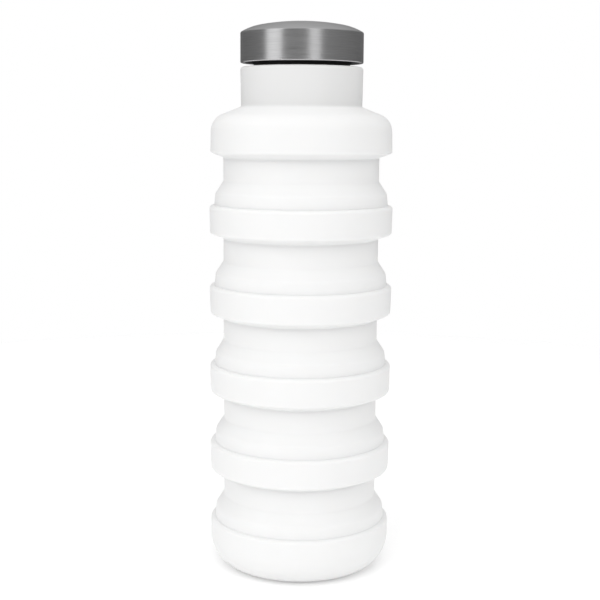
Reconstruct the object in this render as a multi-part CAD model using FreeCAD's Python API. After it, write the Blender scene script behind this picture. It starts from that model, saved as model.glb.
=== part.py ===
import FreeCAD, Part
import math
import os

# A folding water bottle. The silicone body is a stack of stiff rings joined by thin walls
# that turn inside out, so each step drops into the ring below it. A rigid insert in the
# neck takes a screw lid: a steel shell over a plastic plug, sealed by a ring.
# Millimetres, +Z up, the origin at the centre of the foot.

# Silicone body: steps
FOLDS = 5                       # thin walls that fold, one above the base and each ring
PITCH = 31.97                   # height of one step when extended
BASE_LIP_Z = 19.15              # outer top edge of the base cup
LIP_RISE = 0.6                  # the lip's top face climbs this much to its crease
BAND_HEIGHT = 10.8              # lip down to the lower outer corner of a band
WEB_RISE = 1.8                  # the underside climbs this much from waist to band
FLARE_KNEE = 5.1                # above the lip: where the flare leans in
WAIST_BOTTOM = 10.0             # above the lip: where the flare meets the next waist

# Silicone body: radii
BASE_RADIUS = 36.45
BAND_TOP_RADIUS = 36.65
BAND_LOW_RADIUS = 36.4
BAND_BORE = 34.8                # inside of a band, which the inverted wall drops into
FLARE_RADIUS = 34.7             # outside of the fold wall where it leaves the lip
KNEE_RADIUS = 34.25
WAIST_RADIUS = 31.05
WAIST_BORE = 29.25
LIP_BORE = 34.0                 # inside of the fold wall where it leaves the lip
ROOT_DROP = 0.4                 # the fold wall's root slopes down inwards, below the crease
KNEE_BORE = 33.0
KNEE_DROP = 0.5                 # the inner knee lies lower than the outer one

# Silicone body: corners and walls
LIP_ROUND = 1.15
BAND_ROUND = 1.2
WEB_ROUND = 0.6
WEB_THICKNESS = 1.7
INNER_ROUND = 1.0
LIP_THICKNESS = 0.8

# Base cup
FOOT_BEVEL = 7.0                # the outer corner: a 45 degree cut, rounded at both ends
FOOT_LOW_ROUND = 10.4
FOOT_HIGH_ROUND = 12.8
FOOT_BORE = 20.0                # shallow recess inside the foot ring
RECESS_DEPTH = 1.0
RECESS_RUN = 1.5                # the recess's sloping edge
FOOT_ROUND = 0.5
FLOOR_THICKNESS = 3.0
BASE_BORE = 34.8
FLOOR_CORNER = 10.0

# Shoulder and neck sleeve
SHOULDER_LOW_RADIUS = 36.2
SHOULDER_TOP_RADIUS = 35.85
SHOULDER_EDGE_Z = 181.6         # corner of wall and dome, before rounding
SHOULDER_ROUND = 7.2
SHOULDER_BORE = 33.9
SHOULDER_BORE_EDGE_Z = 179.3
SHOULDER_BORE_ROUND = 5.0
NECK_FOOT_RADIUS = 24.0
NECK_TOP_RADIUS = 24.25
NECK_FOOT_Z = 186.25
NECK_FOOT_ROUND = 0.8
RIM_Z = 201.65
RIM_ROUND = 1.1

# Neck insert
INSERT_RADIUS = 20.8
INSERT_BORE = 18.0
INSERT_FOOT_Z = 183.8           # top of its flange, against the underside of the dome
FLANGE_RADIUS = 24.4
FLANGE_THICKNESS = 1.6
INSERT_TOP_Z = 201.4
SEAT_RADIUS = 18.7              # widest part of the cone that the gasket sits in
RIB_RADIUS = 21.8               # ribs that key the insert into the sleeve
RIB_HEIGHT = 1.6
RIB_LEVELS = (188.0, 192.6, 197.2)

# Thread, right-handed, one start
LEAD = 4.0
PLUG_RADIUS = 16.6
PLUG_THREAD_RADIUS = 17.75
INSERT_THREAD_RADIUS = 16.9
THREAD_FOOT_WIDTH = 1.9
THREAD_CREST_WIDTH = 1.0
THREAD_ROOT = 0.3               # how deep the ridge is rooted in its wall
PLUG_THREAD_Z = 192.6
PLUG_THREAD_TURNS = 1.75
INSERT_THREAD_Z = 190.6
INSERT_THREAD_TURNS = 2.0

# Lid
LID_RADIUS = 24.25
LID_FOOT_Z = 203.2
LID_APEX_Z = 219.3
LID_WALL = 0.6
LID_FOOT_ROUND = 0.4
LID_EDGE_ROUND = 0.7
HEM_BORE = 22.6                 # the shell's lower edge is turned in to here
CROWN_RADIUS = 92.0             # radius of the dome's crown
CROWN_REACH = 17.0              # where the crown gives way to the tighter haunch
HAUNCH_RADIUS = 22.0
FIT = 0.05                      # clearance of plug in shell and of gasket on its seat
PLUG_FOOT_Z = 190.5
PLUG_FACE_Z = 203.35            # underside of the plug's flange, above the gasket
PLUG_FLANGE_TOP_Z = 205.4
PLUG_SKIRT_TOP_Z = 213.3
PLUG_WALL = 1.6
PLUG_ROUND = 1.0
PLUG_RIBS = 6
PLUG_RIB_THICKNESS = 1.2
PLUG_RIB_TOP_Z = 211.0

# Gasket
GASKET_TOP_RADIUS = 19.75
GASKET_RADIUS = 18.95
GASKET_BELT_TOP_Z = 202.5
GASKET_BELT_LOW_Z = 201.7
GASKET_FOOT_Z = 200.8

AXIS = FreeCAD.Vector(0, 0, 1)
ORIGIN = FreeCAD.Vector(0, 0, 0)
SAME = 1e-4                     # points closer than this are one point


def lip_z(step):
    """Height of the outer top edge of the base (step 0) or of a ring above it."""
    return BASE_LIP_Z + step * PITCH


def corner_arc(before, at, after, radius):
    """Arc of this radius that rounds the corner `at` between two straight runs."""
    back = (before - at).normalize()
    ahead = (after - at).normalize()
    half_angle = back.getAngle(ahead) / 2
    reach = radius / math.tan(half_angle)
    middle = at + (back + ahead).normalize() * (radius / math.sin(half_angle) - radius)
    return Part.Arc(at + back * reach, middle, at + ahead * reach).toShape()


def outline(points):
    """Closed XZ wire through (radius, height) points; a third value rounds that corner."""
    places = [FreeCAD.Vector(point[0], 0, point[1]) for point in points]
    arcs = {}
    for index, point in enumerate(points):
        if len(point) == 3:
            after = places[(index + 1) % len(points)]
            arcs[index] = corner_arc(places[index - 1], places[index], after, point[2])
    edges = []
    for index, place in enumerate(places):
        if index in arcs:
            edges.append(arcs[index])
        follower = (index + 1) % len(places)
        start = arcs[index].lastVertex().Point if index in arcs else place
        end = arcs[follower].firstVertex().Point if follower in arcs else places[follower]
        if start.distanceToPoint(end) > SAME:
            edges.append(Part.makeLine(start, end))
    return Part.Wire(edges)


def turned(points):
    """Solid of revolution about +Z of a closed outline."""
    return Part.Face(outline(points)).revolve(ORIGIN, AXIS, 360)


def step_underside(lip, band_radius):
    """Outer outline from the foot of a waist up to the lower corner of the band above it."""
    web_z = lip - BAND_HEIGHT - WEB_RISE
    return [
        (WAIST_RADIUS, lip - PITCH + WAIST_BOTTOM),
        (WAIST_RADIUS, web_z, WEB_ROUND),
        (band_radius, lip - BAND_HEIGHT, BAND_ROUND),
    ]


def step_inside(lip, bore):
    """Inner outline from the inside of a band down to the foot of the waist below it."""
    web_z = lip - BAND_HEIGHT - WEB_RISE + WEB_THICKNESS
    return [
        (bore, web_z + WEB_RISE, INNER_ROUND),
        (WAIST_BORE, web_z, INNER_ROUND),
        (WAIST_BORE, lip - PITCH + WAIST_BOTTOM),
    ]


def lip_outline(lip, outer_radius, bore):
    """The lip of a band from its outer edge in to the crease and down its inner wall."""
    return [
        (outer_radius, lip, LIP_ROUND),
        (FLARE_RADIUS, lip + LIP_RISE),
        (LIP_BORE, lip + LIP_RISE - ROOT_DROP),
        (LIP_BORE, lip + LIP_RISE - LIP_THICKNESS),
        (bore, lip + LIP_RISE - LIP_THICKNESS * 2),
    ]


def base_cup():
    """Cup with a rounded foot, a shallow recess underneath and a lip at the top."""
    return turned([
        (0, RECESS_DEPTH),
        (FOOT_BORE, RECESS_DEPTH, FOOT_ROUND),
        (FOOT_BORE + RECESS_RUN, 0, FOOT_ROUND),
        (BASE_RADIUS - FOOT_BEVEL, 0, FOOT_LOW_ROUND),
        (BASE_RADIUS, FOOT_BEVEL, FOOT_HIGH_ROUND),
        *lip_outline(BASE_LIP_Z, BASE_RADIUS, BASE_BORE),
        (BASE_BORE, RECESS_DEPTH + FLOOR_THICKNESS, FLOOR_CORNER),
        (0, RECESS_DEPTH + FLOOR_THICKNESS),
    ])


def ring(step):
    """Stiff band with the waist that hangs below it."""
    lip = lip_z(step)
    return turned([
        *step_underside(lip, BAND_LOW_RADIUS),
        *lip_outline(lip, BAND_TOP_RADIUS, BAND_BORE),
        *step_inside(lip, BAND_BORE),
    ])


def fold_wall(step):
    """Thin flared wall from the lip of the base or a ring up to the next waist."""
    lip = lip_z(step)
    return turned([
        (FLARE_RADIUS, lip + LIP_RISE),
        (KNEE_RADIUS, lip + FLARE_KNEE, INNER_ROUND),
        (WAIST_RADIUS, lip + WAIST_BOTTOM),
        (WAIST_BORE, lip + WAIST_BOTTOM),
        (KNEE_BORE, lip + FLARE_KNEE - KNEE_DROP, INNER_ROUND),
        (LIP_BORE, lip + LIP_RISE - ROOT_DROP),
    ])


def insert_ribs():
    """Outline of the insert's outside, from its top edge down over the keying ribs."""
    points = []
    for level in reversed(RIB_LEVELS):
        points += [
            (INSERT_RADIUS, level + RIB_HEIGHT),
            (RIB_RADIUS, level + RIB_HEIGHT),
            (RIB_RADIUS, level),
            (INSERT_RADIUS, level),
        ]
    return points


def shoulder():
    """Top step: waist, band, dome and the sleeve moulded around the neck insert."""
    lip = lip_z(FOLDS)
    return turned([
        *step_underside(lip, SHOULDER_LOW_RADIUS),
        (SHOULDER_TOP_RADIUS, SHOULDER_EDGE_Z, SHOULDER_ROUND),
        (NECK_FOOT_RADIUS, NECK_FOOT_Z, NECK_FOOT_ROUND),
        (NECK_TOP_RADIUS, RIM_Z, RIM_ROUND),
        (INSERT_RADIUS, RIM_Z),
        *insert_ribs(),
        (INSERT_RADIUS, INSERT_FOOT_Z),
        (FLANGE_RADIUS, INSERT_FOOT_Z),
        (FLANGE_RADIUS, INSERT_FOOT_Z - FLANGE_THICKNESS),
        (SHOULDER_BORE, SHOULDER_BORE_EDGE_Z, SHOULDER_BORE_ROUND),
        *step_inside(lip, SHOULDER_BORE),
    ])


def thread_ridge(root_radius, crest_radius, start_z, turns):
    """Helical ridge that stands from its wall to the crest, outwards or inwards."""
    helix = Part.makeHelix(LEAD, LEAD * turns, root_radius)
    foot = THREAD_FOOT_WIDTH / 2
    crest = THREAD_CREST_WIDTH / 2
    corners = [
        FreeCAD.Vector(root_radius, 0, -foot),
        FreeCAD.Vector(crest_radius, 0, -crest),
        FreeCAD.Vector(crest_radius, 0, crest),
        FreeCAD.Vector(root_radius, 0, foot),
    ]
    section = Part.makePolygon(corners + corners[:1])
    ridge = Part.Wire(helix).makePipeShell([section], True, True)
    ridge.translate(FreeCAD.Vector(0, 0, start_z))
    return ridge


def neck_insert():
    """Rigid threaded tube: flange below, keying ribs outside, gasket seat at its top."""
    seat_depth = SEAT_RADIUS - INSERT_BORE
    tube = turned([
        (INSERT_BORE, INSERT_FOOT_Z - FLANGE_THICKNESS),
        (FLANGE_RADIUS, INSERT_FOOT_Z - FLANGE_THICKNESS),
        (FLANGE_RADIUS, INSERT_FOOT_Z),
        (INSERT_RADIUS, INSERT_FOOT_Z),
        *reversed(insert_ribs()),
        (INSERT_RADIUS, INSERT_TOP_Z),
        (SEAT_RADIUS, INSERT_TOP_Z),
        (INSERT_BORE, INSERT_TOP_Z - seat_depth),
    ])
    root = INSERT_BORE + THREAD_ROOT
    ridge = thread_ridge(root, INSERT_THREAD_RADIUS, INSERT_THREAD_Z, INSERT_THREAD_TURNS)
    return tube.fuse(ridge)


def crown_arcs(offset):
    """Crown and haunch of the dome as edges from the axis out, set in by an offset."""
    crown = CROWN_RADIUS - offset
    haunch = HAUNCH_RADIUS - offset
    top = LID_APEX_Z - offset
    edge_radius = LID_RADIUS - offset
    lean = math.asin(CROWN_REACH / CROWN_RADIUS)
    crown_centre = top - crown
    haunch_centre = (
        (CROWN_RADIUS - HAUNCH_RADIUS) * math.sin(lean),
        crown_centre + (CROWN_RADIUS - HAUNCH_RADIUS) * math.cos(lean),
    )
    edge_lean = math.asin((edge_radius - haunch_centre[0]) / haunch)

    def on_crown(angle):
        return FreeCAD.Vector(
            crown * math.sin(angle), 0, crown_centre + crown * math.cos(angle))

    def on_haunch(angle):
        return FreeCAD.Vector(
            haunch_centre[0] + haunch * math.sin(angle), 0,
            haunch_centre[1] + haunch * math.cos(angle))

    return [
        Part.Arc(on_crown(0), on_crown(lean / 2), on_crown(lean)).toShape(),
        Part.Arc(
            on_haunch(lean), on_haunch((lean + edge_lean) / 2), on_haunch(edge_lean)
        ).toShape(),
    ]


def dome_solid(offset, foot_z):
    """Solid under the dome, set in from the lid's outside and cut off at foot_z."""
    arcs = crown_arcs(offset)
    edge = arcs[-1].lastVertex().Point
    foot = FreeCAD.Vector(edge.x, 0, foot_z)
    axis_foot = FreeCAD.Vector(0, 0, foot_z)
    lines = [
        Part.makeLine(edge, foot),
        Part.makeLine(foot, axis_foot),
        Part.makeLine(axis_foot, arcs[0].firstVertex().Point),
    ]
    return Part.Face(Part.Wire(arcs + lines)).revolve(ORIGIN, AXIS, 360)


def circle_edges(solid, radius, height):
    """Circular edges of a solid of revolution at one radius and height."""
    found = []
    for edge in solid.Edges:
        point = edge.Vertexes[0].Point
        near = abs(math.hypot(point.x, point.y) - radius) < SAME
        if near and abs(point.z - height) < SAME and edge.isClosed():
            found.append(edge)
    return found


def lid_shell():
    """Drawn steel cap: straight side, crisp domed top and a lower edge turned in."""
    outside = dome_solid(0, LID_FOOT_Z)
    edge_z = crown_arcs(0)[-1].lastVertex().Point.z
    outside = outside.makeFillet(LID_EDGE_ROUND, circle_edges(outside, LID_RADIUS, edge_z))
    outside = outside.makeFillet(
        LID_FOOT_ROUND, circle_edges(outside, LID_RADIUS, LID_FOOT_Z))
    cavity = dome_solid(LID_WALL, LID_FOOT_Z + LID_WALL)
    below = FreeCAD.Vector(0, 0, LID_FOOT_Z - LID_WALL)
    mouth = Part.makeCylinder(HEM_BORE, 3 * LID_WALL, below)
    return outside.cut(cavity).cut(mouth)


def lid_plug():
    """Threaded cup, open upwards under the shell, with a flange, a skirt and ribs."""
    skirt_radius = LID_RADIUS - LID_WALL - FIT
    skirt_bore = skirt_radius - PLUG_WALL
    cup_bore = PLUG_RADIUS - PLUG_WALL
    hem_top = LID_FOOT_Z + LID_WALL + FIT
    cup = turned([
        (0, PLUG_FOOT_Z),
        (PLUG_RADIUS, PLUG_FOOT_Z, PLUG_ROUND),
        (PLUG_RADIUS, PLUG_FACE_Z),
        (HEM_BORE - FIT, PLUG_FACE_Z),
        (HEM_BORE - FIT, hem_top),
        (skirt_radius, hem_top),
        (skirt_radius, PLUG_SKIRT_TOP_Z),
        (skirt_bore, PLUG_SKIRT_TOP_Z),
        (skirt_bore, PLUG_FLANGE_TOP_Z),
        (cup_bore, PLUG_FLANGE_TOP_Z),
        (cup_bore, PLUG_FOOT_Z + PLUG_WALL),
        (0, PLUG_FOOT_Z + PLUG_WALL),
    ])
    root = PLUG_RADIUS - THREAD_ROOT
    plug = cup.fuse(thread_ridge(root, PLUG_THREAD_RADIUS, PLUG_THREAD_Z, PLUG_THREAD_TURNS))
    for number in range(PLUG_RIBS):
        plug = plug.fuse(plug_rib(cup_bore, skirt_bore, 360 * number / PLUG_RIBS))
    return plug.removeSplitter()


def plug_rib(inner_radius, outer_radius, angle):
    """Upright web on the plug's flange between the cup's mouth and the skirt."""
    bite = PLUG_WALL / 2
    web = Part.makeBox(
        outer_radius - inner_radius + bite, PLUG_RIB_THICKNESS,
        PLUG_RIB_TOP_Z - PLUG_FLANGE_TOP_Z + bite,
        FreeCAD.Vector(inner_radius, -PLUG_RIB_THICKNESS / 2, PLUG_FLANGE_TOP_Z - bite))
    web.rotate(ORIGIN, AXIS, angle)
    return web


def lid_gasket():
    """Seal around the plug: a chamfer below the flange, a belt and a cone at its foot."""
    foot_radius = GASKET_RADIUS - (GASKET_BELT_LOW_Z - GASKET_FOOT_Z)
    return turned([
        (PLUG_RADIUS + FIT, GASKET_FOOT_Z),
        (foot_radius, GASKET_FOOT_Z),
        (GASKET_RADIUS, GASKET_BELT_LOW_Z),
        (GASKET_RADIUS, GASKET_BELT_TOP_Z),
        (GASKET_TOP_RADIUS, PLUG_FACE_Z - FIT),
        (PLUG_RADIUS + FIT, PLUG_FACE_Z - FIT),
    ])


def assembly():
    """Every node by name."""
    nodes = {"base_cup": base_cup()}
    for step in range(1, FOLDS):
        nodes["ring_%d" % step] = ring(step)
    for step in range(FOLDS):
        nodes["fold_wall_%d" % (step + 1)] = fold_wall(step)
    nodes["shoulder"] = shoulder()
    nodes["neck_insert"] = neck_insert()
    nodes["lid_gasket"] = lid_gasket()
    nodes["lid_plug"] = lid_plug()
    nodes["lid_shell"] = lid_shell()
    return nodes


os.makedirs("parts", exist_ok=True)
for name, shape in assembly().items():
    if not shape.isValid() or len(shape.Solids) != 1:
        raise ValueError("%s is not one valid solid" % name)
    print("%-12s %9.1f mm3" % (name, shape.Volume))
    shape.exportStep("parts/%s.step" % name)
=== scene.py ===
import math

import bmesh
import bpy
from mathutils import Matrix, Vector


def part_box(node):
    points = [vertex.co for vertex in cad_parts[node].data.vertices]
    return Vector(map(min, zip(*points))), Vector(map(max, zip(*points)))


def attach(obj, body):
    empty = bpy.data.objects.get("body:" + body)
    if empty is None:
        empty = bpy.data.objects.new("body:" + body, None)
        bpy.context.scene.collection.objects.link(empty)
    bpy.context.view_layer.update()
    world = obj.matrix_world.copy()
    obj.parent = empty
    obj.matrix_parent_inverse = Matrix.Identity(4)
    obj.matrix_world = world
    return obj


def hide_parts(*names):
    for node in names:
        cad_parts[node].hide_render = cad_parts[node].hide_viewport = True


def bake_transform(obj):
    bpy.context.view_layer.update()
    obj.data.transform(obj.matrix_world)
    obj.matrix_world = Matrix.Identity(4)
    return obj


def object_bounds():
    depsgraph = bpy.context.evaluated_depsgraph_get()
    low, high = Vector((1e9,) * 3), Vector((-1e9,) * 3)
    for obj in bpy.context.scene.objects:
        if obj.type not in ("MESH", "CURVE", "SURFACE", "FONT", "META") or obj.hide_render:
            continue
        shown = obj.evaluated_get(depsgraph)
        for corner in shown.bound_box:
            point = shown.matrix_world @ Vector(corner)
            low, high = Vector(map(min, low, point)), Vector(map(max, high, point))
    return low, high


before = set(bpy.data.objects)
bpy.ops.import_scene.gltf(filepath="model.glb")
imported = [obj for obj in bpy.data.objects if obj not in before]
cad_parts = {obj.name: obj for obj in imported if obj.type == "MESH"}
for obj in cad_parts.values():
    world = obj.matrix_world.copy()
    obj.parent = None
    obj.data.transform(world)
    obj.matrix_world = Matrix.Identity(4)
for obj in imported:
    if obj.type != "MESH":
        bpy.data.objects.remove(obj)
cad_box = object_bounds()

middle = (cad_box[0] + cad_box[1]) / 2
MM = 0.001

# The visual pieces are bodies of revolution turned from outlines in millimetres. Heights and
# outer radii come from the frame's boxes; walls and corners are those of the CAD part.
AROUND = 192                    # facets round the axis
ARC_STEP = math.radians(9)      # one facet of a rounded corner
RUN = 1.6                       # straight runs are divided to about this length
FOLD_RUN = 0.6                  # and finer where a wall turns inside out
CREASE = math.radians(25)       # sharper turns than this stay sharp
ON_AXIS = 1e-6                  # a smaller radius is a single point

# Waists and fold walls
FOLDS = 5
WAIST_RADIUS = 31.05
WAIST_BORE = 29.25
FLARE_RADIUS = 34.7
KNEE_RADIUS = 34.25
KNEE_RISE = 4.5                 # above the crease
KNEE_ROUND = 3.0
WAIST_ROUND = 2.0
LIP_BORE = 34.0
KNEE_BORE = 33.0
KNEE_DROP = 0.5
ROOT_DROP = 0.4

# Lips and bands
LIP_RISE = 0.6
LIP_ROUND = 1.15
NOSE_ROUND = LIP_ROUND / 4      # the lip's inner corners
LIP_THICKNESS = 0.8
BAND_HEIGHT = 10.8
BAND_TAPER = 0.25
BAND_ROUND = 1.2
WEB_RISE = 1.8
WEB_ROUND = 0.6
WEB_THICKNESS = 1.7
STUB = 0.8                      # how much of the waist the band's own piece keeps
INNER_ROUND = 1.0
BAND_BORE = 34.8

# Base cup
BASE_BORE = 34.8
FOOT_BEVEL = 7.0
FOOT_LOW_ROUND = 10.4
FOOT_HIGH_ROUND = 12.8
FOOT_BORE = 20.0
RECESS_DEPTH = 1.0
RECESS_RUN = 1.5
FOOT_ROUND = 0.5
FLOOR_THICKNESS = 3.0
FLOOR_CORNER = 10.0

# Shoulder and neck
SHOULDER_TOP_RADIUS = 35.85
SHOULDER_EDGE_DROP = 20.05      # below the rim: corner of wall and dome
SHOULDER_ROUND = 7.2
SHOULDER_BORE = 33.9
SHOULDER_BORE_EDGE_DROP = 22.35
SHOULDER_BORE_ROUND = 5.0
NECK_FOOT_RADIUS = 24.0
NECK_TOP_RADIUS = 24.25
NECK_FOOT_DROP = 15.4
NECK_FOOT_ROUND = 0.8
RIM_ROUND = 1.1
RIM_INNER_ROUND = RIM_ROUND / 4
INSERT_RADIUS = 20.8

# Lid shell
LID_WALL = 0.6
LID_FOOT_ROUND = 0.4
LID_EDGE_ROUND = 0.7
HEM_BORE = 22.6
HEM_ROUND = LID_WALL / 4
CROWN_RADIUS = 92.0
CROWN_REACH = 17.0
HAUNCH_RADIUS = 22.0
CROWN_STEPS = 12
HAUNCH_STEPS = 10

# Gasket
GASKET_BELT = 0.8
GASKET_CHAMFER = 0.8
GASKET_BORE = 16.65
GASKET_SOFT = 0.15

# Camera before the object (along -Y): metres, degrees, and millimetres for the lens
CAMERA_DISTANCE = 0.477
CAMERA_SIDE = -0.0002
CAMERA_HEIGHT = 0.1786
CAMERA_PITCH = 8.31
CAMERA_ROLL = 0.35
CAMERA_LENS = 71.3

NECK_PAINTED_SHADE = (0.72, 0.72, 0.717)  # painted shade: the neck sleeve under the lid is coloured greyer

FLOOR_RADIUS = 0.55
FLOOR_GLOW = 0.14               # keeps the floor as white as the backdrop


def top(node):
    """Highest point of a CAD node, in millimetres."""
    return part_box(node)[1].z / MM


def bottom(node):
    """Lowest point of a CAD node, in millimetres."""
    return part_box(node)[0].z / MM


def reach(node):
    """Outer radius of a CAD node, in millimetres."""
    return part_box(node)[1].x / MM


def placed(name, data):
    """New object in the scene, holding this data."""
    made = bpy.data.objects.new(name, data)
    bpy.context.collection.objects.link(made)
    return made


def settled(name, mesh):
    """New object from a finished bmesh."""
    data = bpy.data.meshes.new(name)
    mesh.to_mesh(data)
    mesh.free()
    return placed(name, data)


# ---------------------------------------------------------------- outlines and turning

def rounded(points):
    """Closed outline through (radius, height) points; a third value rounds that corner."""
    places = [Vector(point[:2]) for point in points]
    path = []
    for index, point in enumerate(points):
        at = places[index]
        if len(point) == 2:
            path.append(at)
            continue
        back = (places[index - 1] - at).normalized()
        ahead = (places[(index + 1) % len(points)] - at).normalized()
        half_angle = back.angle(ahead) / 2
        centre = at + (back + ahead).normalized() * (point[2] / math.sin(half_angle))
        spoke = at + back * (point[2] / math.tan(half_angle)) - centre
        turn = math.copysign(math.pi - 2 * half_angle, ahead.cross(back))
        steps = max(3, math.ceil(abs(turn) / ARC_STEP))
        for step in range(steps + 1):
            path.append(centre + Matrix.Rotation(turn * step / steps, 2) @ spoke)
    return path


def divided(path, longest):
    """The closed path with its straight runs cut into pieces no longer than this."""
    finer = []
    for index, at in enumerate(path):
        ahead = path[(index + 1) % len(path)]
        pieces = max(1, math.ceil((ahead - at).length / longest))
        finer += [at.lerp(ahead, piece / pieces) for piece in range(pieces)]
    return finer


def ring_of_vertices(mesh, at):
    """One circle of vertices, or a single one on the axis."""
    if at.x < ON_AXIS:
        return [mesh.verts.new((0, 0, at.y * MM))]
    circle = []
    for facet in range(AROUND):
        angle = 2 * math.pi * facet / AROUND
        place = (at.x * math.cos(angle) * MM, at.x * math.sin(angle) * MM, at.y * MM)
        circle.append(mesh.verts.new(place))
    return circle


def join_rings(mesh, low, high):
    """Quads between two circles of vertices, or a fan where one of them is a point."""
    if len(low) == 1 and len(high) == 1:
        return
    for facet in range(AROUND):
        follower = (facet + 1) % AROUND
        corners = []
        for ring in (low, high):
            pair = [ring[0]] if len(ring) == 1 else [ring[facet], ring[follower]]
            corners += pair if ring is low else reversed(pair)
        mesh.faces.new(corners)


def turned(name, path):
    """Mesh object made by turning a closed path round the axis."""
    mesh = bmesh.new()
    circles = [ring_of_vertices(mesh, at) for at in path]
    for index, circle in enumerate(circles):
        join_rings(mesh, circle, circles[(index + 1) % len(circles)])
    bmesh.ops.recalc_face_normals(mesh, faces=mesh.faces)
    for face in mesh.faces:
        face.smooth = True
    for edge in mesh.edges:
        edge.smooth = edge.calc_face_angle(0) < CREASE
    return settled(name, mesh)


def dressed(piece, material):
    """Gives the piece its material."""
    piece.data.materials.append(material)
    return piece


# ---------------------------------------------------------------- materials

class Shader:
    """A small helper that adds nodes to one material and links them."""

    def __init__(self, name):
        self.material = bpy.data.materials.new(name)
        self.material.use_nodes = True
        self.tree = self.material.node_tree
        self.surface = self.tree.nodes["Principled BSDF"]

    def node(self, kind, inputs=(), **settings):
        made = self.tree.nodes.new(kind)
        for key, value in settings.items():
            setattr(made, key, value)
        for key, value in dict(inputs).items():
            self.put(made, key, value)
        return made

    def put(self, node, key, value):
        if isinstance(value, bpy.types.NodeSocket):
            self.tree.links.new(value, node.inputs[key])
        else:
            node.inputs[key].default_value = value

    def set(self, **values):
        for key, value in values.items():
            self.put(self.surface, key.replace("_", " "), value)

    def place(self):
        return self.node("ShaderNodeTexCoord").outputs["Object"]

    def noise(self, vector, scale, detail=2.0, roughness=0.5):
        inputs = {"Vector": vector, "Scale": scale, "Detail": detail, "Roughness": roughness}
        return self.node("ShaderNodeTexNoise", inputs).outputs["Fac"]

    def between(self, factor, low, high):
        inputs = {"Value": factor, "To Min": low, "To Max": high}
        return self.node("ShaderNodeMapRange", inputs).outputs["Result"]

    def blend(self, factor, first, second):
        made = self.node("ShaderNodeMix", {"Factor": factor}, data_type="RGBA")
        for key, colour in ((6, first), (7, second)):
            known = isinstance(colour, bpy.types.NodeSocket)
            self.put(made, key, colour if known else (*colour, 1))
        return made.outputs[2]

    def bump(self, height, strength, distance, under=None):
        inputs = {"Height": height, "Strength": strength, "Distance": distance}
        if under is not None:
            inputs["Normal"] = under
        return self.node("ShaderNodeBump", inputs).outputs["Normal"]


def silicone_material():
    """Matt white silicone: faint mottling, a fine grain, soft translucency, and a neck
    coloured greyer as painted shade under the lid.
    """
    shader = Shader("white_silicone")
    place = shader.place()
    cloud = shader.noise(place, 45, 3)
    grain = shader.noise(place, 2600, 2, 0.6)
    orange_peel = shader.noise(place, 320, 2)
    coarse = shader.bump(orange_peel, 0.12, 0.00012)
    neck_foot = top("shoulder") - NECK_FOOT_DROP
    # the neck sleeve above its foot is coloured greyer: painted shade under the lid
    neck = shader.node("ShaderNodeMapRange", {
        "Value": shader.node("ShaderNodeSeparateXYZ", {"Vector": place}).outputs["Z"],
        "From Min": (neck_foot - NECK_FOOT_ROUND) * MM,
        "From Max": (neck_foot + NECK_FOOT_ROUND) * MM})
    body = shader.blend(cloud, (0.795, 0.795, 0.792), (0.825, 0.825, 0.823))
    shader.set(
        Base_Color=shader.blend(neck.outputs["Result"], body, NECK_PAINTED_SHADE),
        Roughness=shader.between(grain, 0.46, 0.6),
        Normal=shader.bump(grain, 0.18, 0.00003, coarse),
    )
    shader.set(Subsurface_Weight=0.3, Subsurface_Scale=0.0015, IOR=1.41)
    shader.surface.inputs["Subsurface Radius"].default_value = (1.0, 0.95, 0.9)
    return shader.material


def steel_material():
    """Brushed stainless steel: streaks run round the side and in circles on the dome."""
    shader = Shader("brushed_steel")
    place = shader.place()
    parts = shader.node("ShaderNodeSeparateXYZ", {"Vector": place})
    flat = shader.node("ShaderNodeCombineXYZ", {
        "X": parts.outputs["X"], "Y": parts.outputs["Y"], "Z": 0.0})
    out = shader.node("ShaderNodeVectorMath", {0: flat.outputs[0]}, operation="LENGTH")
    across = shader.node("ShaderNodeMath", {
        0: parts.outputs["Z"], 1: out.outputs["Value"]}, operation="SUBTRACT")

    def streaks(along, over):
        run = shader.node("ShaderNodeVectorMath", {
            0: flat.outputs[0], 1: (along, along, 0.0)}, operation="MULTIPLY")
        rise = shader.node("ShaderNodeMath", {
            0: across.outputs[0], 1: over}, operation="MULTIPLY")
        step = shader.node("ShaderNodeCombineXYZ", {"Z": rise.outputs[0]})
        total = shader.node("ShaderNodeVectorMath", {
            0: run.outputs[0], 1: step.outputs[0]}, operation="ADD")
        return shader.noise(total.outputs[0], 1.0, 3, 0.65)

    fine = streaks(120, 2800)
    broad = streaks(60, 1200)
    shader.set(
        Base_Color=shader.blend(fine, (0.46, 0.46, 0.465), (0.68, 0.68, 0.685)),
        Roughness=shader.between(broad, 0.22, 0.42),
        Normal=shader.bump(fine, 0.4, 0.00002, shader.bump(broad, 0.2, 0.00004)),
        Tangent=shader.node("ShaderNodeTangent", direction_type="RADIAL", axis="Z").outputs[0],
    )
    shader.set(Metallic=1.0, Anisotropic=0.65, Anisotropic_Rotation=0.25)
    return shader.material


def plastic_material(name, dark, light, roughness):
    """Moulded plastic with a fine satin grain and faint flow marks."""
    shader = Shader(name)
    place = shader.place()
    flow = shader.noise(place, 90, 3)
    grain = shader.noise(place, 3000, 2)
    shader.set(
        Base_Color=shader.blend(flow, dark, light),
        Roughness=shader.between(grain, *roughness),
        Normal=shader.bump(grain, 0.15, 0.00003),
    )
    shader.set(IOR=1.49)
    return shader.material


def rubber_material():
    """Black silicone seal, softly shiny, with a little dust in its grain."""
    shader = Shader("black_seal")
    place = shader.place()
    dust = shader.noise(place, 600, 4)
    shader.set(
        Base_Color=shader.blend(dust, (0.012, 0.012, 0.012), (0.03, 0.03, 0.03)),
        Roughness=shader.between(dust, 0.42, 0.58),
        Normal=shader.bump(dust, 0.1, 0.00004),
    )
    shader.set(IOR=1.41)
    return shader.material


# ---------------------------------------------------------------- silicone body

def web_height(crease):
    """Height at which a step's sloping underside meets its waist, from the step's crease."""
    return crease - LIP_RISE - BAND_HEIGHT - WEB_RISE


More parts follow.
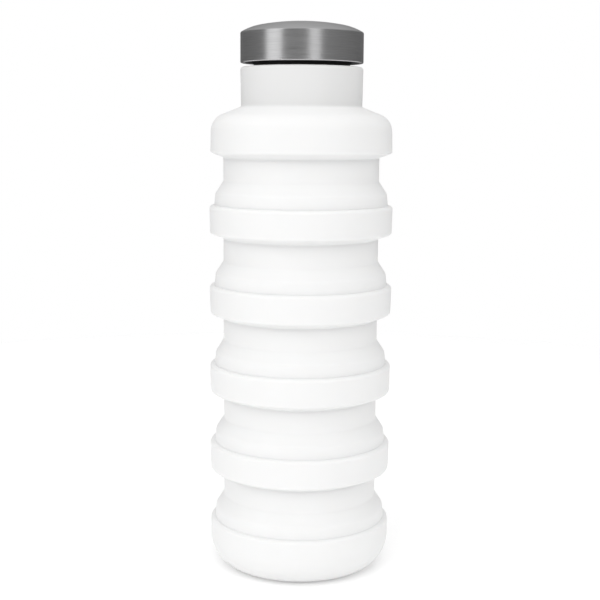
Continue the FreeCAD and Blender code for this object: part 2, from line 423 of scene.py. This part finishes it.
def underside(crease, band_low_radius):
    """From the stub of waist up the sloping underside to the band's lower corner."""
    web = web_height(crease)
    return [
        (WAIST_RADIUS, web - STUB),
        (WAIST_RADIUS, web, WEB_ROUND),
        (band_low_radius, crease - LIP_RISE - BAND_HEIGHT, BAND_ROUND),
    ]


def lip_and_bore(crease, outer_radius, bore):
    """Over the lip to the root of the fold wall and into the band's bore."""
    return [
        (outer_radius, crease - LIP_RISE, LIP_ROUND),
        (FLARE_RADIUS, crease),
        (LIP_BORE, crease - ROOT_DROP),
        (LIP_BORE, crease - LIP_THICKNESS, NOSE_ROUND),
        (bore, crease - 2 * LIP_THICKNESS, NOSE_ROUND),
    ]


def inside(crease, bore):
    """Down the bore, over the web and back to the stub of waist."""
    web = web_height(crease)
    return [
        (bore, web + WEB_THICKNESS + WEB_RISE, INNER_ROUND),
        (WAIST_BORE, web + WEB_THICKNESS, INNER_ROUND),
        (WAIST_BORE, web - STUB),
    ]


def base_piece():
    """Base cup: rounded foot with a shallow recess, thick floor, soft lip."""
    crease = top("base_cup")
    inner_floor = RECESS_DEPTH + FLOOR_THICKNESS
    return turned("base_cup_skin", divided(rounded([
        (0, RECESS_DEPTH),
        (FOOT_BORE, RECESS_DEPTH, FOOT_ROUND),
        (FOOT_BORE + RECESS_RUN, 0, FOOT_ROUND),
        (reach("base_cup") - FOOT_BEVEL, 0, FOOT_LOW_ROUND),
        (reach("base_cup"), FOOT_BEVEL, FOOT_HIGH_ROUND),
        *lip_and_bore(crease, reach("base_cup"), BASE_BORE),
        (BASE_BORE, inner_floor, FLOOR_CORNER),
        (0, inner_floor),
    ]), RUN))


def band_piece(node):
    """Stiff band of one ring."""
    crease = top(node)
    return turned(node + "_band", divided(rounded([
        *underside(crease, reach(node) - BAND_TAPER),
        *lip_and_bore(crease, reach(node), BAND_BORE),
        *inside(crease, BAND_BORE),
    ]), RUN))


def fold_piece(node, crease, waist_top):
    """Flared wall, which turns inside out on the real bottle, with the waist at its top."""
    waist = top(node)
    knee = crease + KNEE_RISE
    return turned(node + "_and_waist", divided(rounded([
        (FLARE_RADIUS, crease),
        (KNEE_RADIUS, knee, KNEE_ROUND),
        (WAIST_RADIUS, waist, WAIST_ROUND),
        (WAIST_RADIUS, waist_top),
        (WAIST_BORE, waist_top),
        (WAIST_BORE, waist, WAIST_ROUND),
        (KNEE_BORE, knee - KNEE_DROP, KNEE_ROUND),
        (LIP_BORE, crease - ROOT_DROP),
    ]), FOLD_RUN))


def shoulder_piece(crease):
    """Shoulder band, dome and neck sleeve in one."""
    rim = top("shoulder")
    flange_foot = bottom("neck_insert")
    return turned("shoulder_and_neck", divided(rounded([
        *underside(crease, reach("shoulder")),
        (SHOULDER_TOP_RADIUS, rim - SHOULDER_EDGE_DROP, SHOULDER_ROUND),
        (NECK_FOOT_RADIUS, rim - NECK_FOOT_DROP, NECK_FOOT_ROUND),
        (NECK_TOP_RADIUS, rim, RIM_ROUND),
        (INSERT_RADIUS, rim, RIM_INNER_ROUND),
        (INSERT_RADIUS, flange_foot),
        (reach("neck_insert"), flange_foot),
        (SHOULDER_BORE, rim - SHOULDER_BORE_EDGE_DROP, SHOULDER_BORE_ROUND),
        *inside(crease, SHOULDER_BORE),
    ]), RUN))


def build_silicone(material):
    """The whole silicone body: base, bands and shoulder each on the body it moves with, the
    fold walls left where they are turned.
    """
    rings = ["ring_%d" % step for step in range(1, FOLDS)]
    stages = ["base", *rings, "neck"]
    lip_nodes = ["base_cup", *rings]
    pitch = top("ring_2") - top("ring_1")
    creases = [top(node) for node in lip_nodes]
    creases.append(creases[-1] + pitch)

    pieces = [base_piece(), *[band_piece(node) for node in rings], shoulder_piece(creases[-1])]
    for piece, node, body in zip(pieces, [*lip_nodes, "shoulder"], stages):
        dressed(piece, material)
        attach(piece, body)
        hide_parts(node)

    for step in range(FOLDS):
        node = "fold_wall_%d" % (step + 1)
        waist_top = web_height(creases[step + 1]) - STUB
        piece = dressed(fold_piece(node, creases[step], waist_top), material)
        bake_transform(piece)
        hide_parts(node)


# ---------------------------------------------------------------- lid

def dome_path(offset):
    """Crown and haunch of the dome from the axis outwards, set in by an offset."""
    lean = math.asin(CROWN_REACH / CROWN_RADIUS)
    crown_centre = Vector((0, top("lid_shell") - CROWN_RADIUS))
    drop = CROWN_RADIUS - HAUNCH_RADIUS
    haunch_centre = crown_centre + drop * Vector((math.sin(lean), math.cos(lean)))
    edge = reach("lid_shell") - offset
    edge_lean = math.asin((edge - haunch_centre.x) / (HAUNCH_RADIUS - offset))

    def arc(centre, radius, first, last, steps):
        angles = [first + (last - first) * step / steps for step in range(steps + 1)]
        return [centre + radius * Vector((math.sin(a), math.cos(a))) for a in angles]

    crown = arc(crown_centre, CROWN_RADIUS - offset, 0, lean, CROWN_STEPS)
    haunch = arc(haunch_centre, HAUNCH_RADIUS - offset, lean, edge_lean, HAUNCH_STEPS)
    return crown + haunch[1:]


def lid_shell_piece():
    """Drawn cap: domed top with a crisp edge, straight side and a hem turned in below."""
    outer = dome_path(0)
    inner = dome_path(LID_WALL)
    foot = bottom("lid_shell")
    side = reach("lid_shell")
    points = [tuple(at) for at in outer[:-1]]
    points += [
        (*outer[-1], LID_EDGE_ROUND),
        (side, foot, LID_FOOT_ROUND),
        (HEM_BORE, foot, HEM_ROUND),
        (HEM_BORE, foot + LID_WALL, HEM_ROUND),
        (side - LID_WALL, foot + LID_WALL),
    ]
    points += [tuple(at) for at in reversed(inner)]
    return turned("lid_shell_skin", divided(rounded(points), RUN))


def gasket_piece():
    """Seal with a chamfer above, a belt and a cone below."""
    top_radius = reach("lid_gasket")
    high = top("lid_gasket")
    low = bottom("lid_gasket")
    belt_radius = top_radius - GASKET_CHAMFER
    belt_top = high - GASKET_CHAMFER
    belt_low = belt_top - GASKET_BELT
    return turned("gasket_skin", divided(rounded([
        (GASKET_BORE, low),
        (belt_radius - (belt_low - low), low, GASKET_SOFT),
        (belt_radius, belt_low, GASKET_SOFT),
        (belt_radius, belt_top, GASKET_SOFT),
        (top_radius, high, GASKET_SOFT),
        (GASKET_BORE, high),
    ]), RUN))


def build_lid():
    """Steel shell, seal, and the threaded plug and insert kept from the frame."""
    shell = dressed(lid_shell_piece(), steel_material())
    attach(shell, "lid")
    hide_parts("lid_shell")
    gasket = dressed(gasket_piece(), rubber_material())
    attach(gasket, "gasket")
    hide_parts("lid_gasket")
    black = plastic_material("black_plastic", (0.014, 0.014, 0.014), (0.022, 0.022, 0.022),
                             roughness=(0.35, 0.47))
    white = plastic_material("white_plastic", (0.78, 0.78, 0.77), (0.84, 0.84, 0.83),
                             roughness=(0.29, 0.41))
    for node, material in (("lid_plug", black), ("neck_insert", white)):
        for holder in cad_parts[node].material_slots:
            holder.material = material


# ---------------------------------------------------------------- studio

def floor():
    """Plain pale floor, a wide round sheet."""
    mesh = bmesh.new()
    bmesh.ops.create_circle(mesh, cap_ends=True, segments=AROUND, radius=FLOOR_RADIUS)
    sheet = settled("floor", mesh)
    sheet.location.z = cad_box[0].z
    shader = Shader("pale_floor")
    cloud = shader.noise(shader.place(), 3, 2)
    shader.set(Base_Color=shader.blend(cloud, (0.90, 0.90, 0.90), (0.92, 0.92, 0.92)))
    shader.set(Roughness=0.7, Emission_Color=(1, 1, 1, 1), Emission_Strength=FLOOR_GLOW)
    sheet.data.materials.append(shader.material)


def softbox(name, azimuth, elevation, distance, size, power, mirrored=True):
    """Rectangular light aimed at the middle of the object. Azimuth 0 is the camera's side."""
    turn = math.radians(azimuth)
    rise = math.radians(elevation)
    way = Vector((math.sin(turn) * math.cos(rise), -math.cos(turn) * math.cos(rise),
                  math.sin(rise)))
    data = bpy.data.lights.new(name, "AREA")
    data.shape = "RECTANGLE"
    data.size, data.size_y = size
    data.energy = power
    lamp = placed(name, data)
    lamp.location = middle + way * distance
    lamp.rotation_euler = way.to_track_quat("Z", "Y").to_euler()
    lamp.visible_glossy = mirrored


def surroundings(seen, matt, shiny):
    """Backdrop and fill, graded from the horizon (first strength) to overhead (second): as the
    eye sees it, as it lights matt surfaces, and as shiny surfaces mirror it."""
    world = bpy.data.worlds.new("studio")
    bpy.context.scene.world = world
    world.use_nodes = True
    tree = world.node_tree
    rays = tree.nodes.new("ShaderNodeLightPath")
    parts = tree.nodes.new("ShaderNodeSeparateXYZ")
    direction = tree.nodes.new("ShaderNodeTexCoord").outputs["Generated"]
    tree.links.new(direction, parts.inputs[0])

    def graded(strengths):
        rise = tree.nodes.new("ShaderNodeMapRange")
        tree.links.new(parts.outputs["Z"], rise.inputs["Value"])
        for key, strength in zip(("To Min", "To Max"), strengths):
            rise.inputs[key].default_value = strength
        return rise.outputs["Result"]

    def switched(ray, others, wanted):
        mix = tree.nodes.new("ShaderNodeMix")
        for key, source in (("Factor", rays.outputs[ray]), ("A", others), ("B", wanted)):
            tree.links.new(source, mix.inputs[key])
        return mix.outputs["Result"]

    light = switched("Is Glossy Ray", graded(matt), graded(shiny))
    strength = switched("Is Camera Ray", light, graded(seen))
    backdrop = tree.nodes["Background"]
    backdrop.inputs["Color"].default_value = (1, 1, 1, 1)
    tree.links.new(strength, backdrop.inputs["Strength"])


def camera():
    """Camera before the object, looking slightly down."""
    data = bpy.data.cameras.new("camera")
    data.lens = CAMERA_LENS
    eye = placed("camera", data)
    eye.location = (middle.x + CAMERA_SIDE, middle.y - CAMERA_DISTANCE,
                    cad_box[0].z + CAMERA_HEIGHT)
    level = Matrix.Rotation(math.radians(90 - CAMERA_PITCH), 4, "X")
    roll = Matrix.Rotation(math.radians(CAMERA_ROLL), 4, "Z")
    eye.rotation_euler = (level @ roll).to_euler()
    bpy.context.scene.camera = eye


def studio():
    """Two tall lights that stand as bands on the lid, soft light above and in front, fill."""
    floor()
    surroundings(seen=(1.0, 1.0), matt=(0.67, 0.87), shiny=(0.11, 0.72))
    softbox("overhead", 0, 90, 1.1, (1.6, 1.6), 2.7, mirrored=False)
    softbox("front_high", 0, 45, 1.3, (1.2, 0.8), 3.5, mirrored=False)
    softbox("tall_left", -53, 12, 1.0, (0.55, 1.3), 2.1)
    softbox("tall_right", 23.5, 12, 1.0, (0.37, 1.3), 1.15)
    bpy.context.scene.view_settings.view_transform = "Standard"


build_silicone(silicone_material())
build_lid()
studio()
camera()
